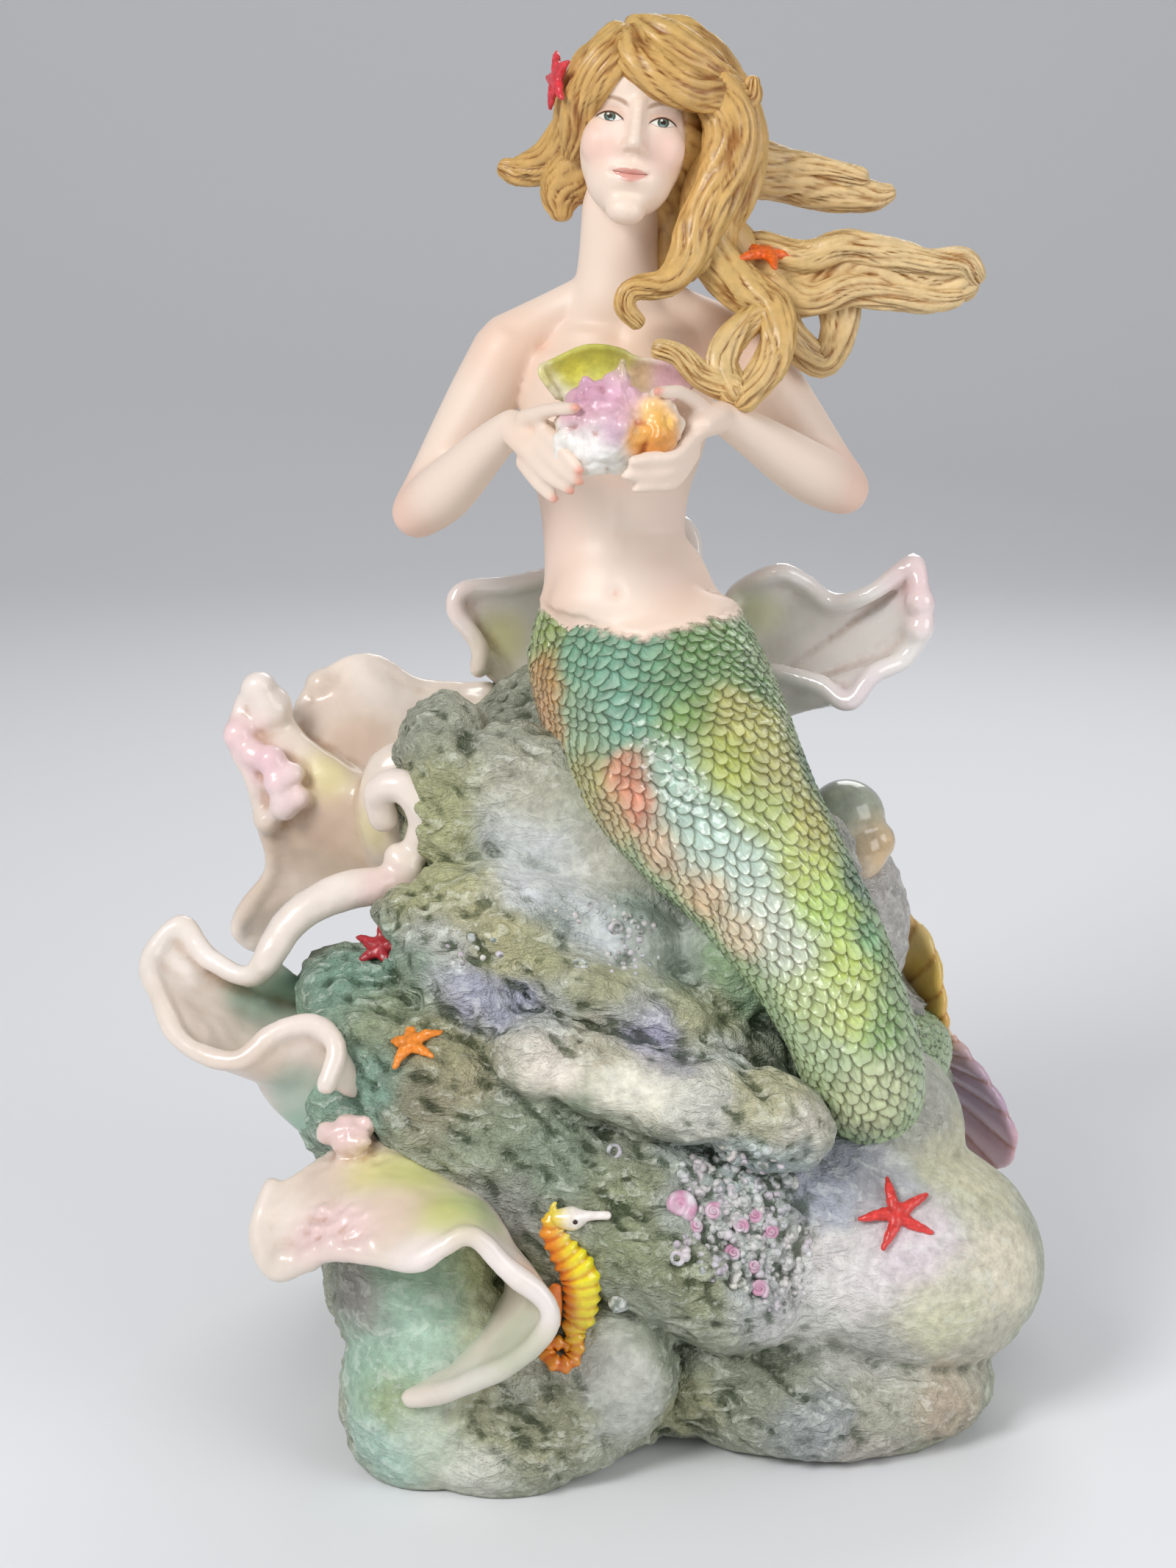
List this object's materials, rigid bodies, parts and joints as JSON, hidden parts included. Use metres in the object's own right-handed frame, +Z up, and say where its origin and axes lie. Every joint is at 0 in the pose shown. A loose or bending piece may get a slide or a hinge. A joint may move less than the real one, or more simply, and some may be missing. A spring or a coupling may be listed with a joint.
{
  "type": "mermaid figurine",
  "caption": "Hand-painted porcelain figurine of a mermaid holding a conch, seated on a sea rock with ruffled leaves, a seahorse and starfish.",
  "frame": {"origin": "on the flat foot of the rock, below the middle of the figurine", "axes": "+Z up, -Y towards the viewer the mermaid faces, +X to the viewer's right"},
  "size_m": [0.2871, 0.2311, 0.4297],
  "materials": {
    "porcelain": "hand-painted: matt skin, hair and rock, satin tail, glossy leaves"
  },
  "bodies": {
    "root": {"mermaid_figurine": "porcelain"}
  },
  "joints": []
}
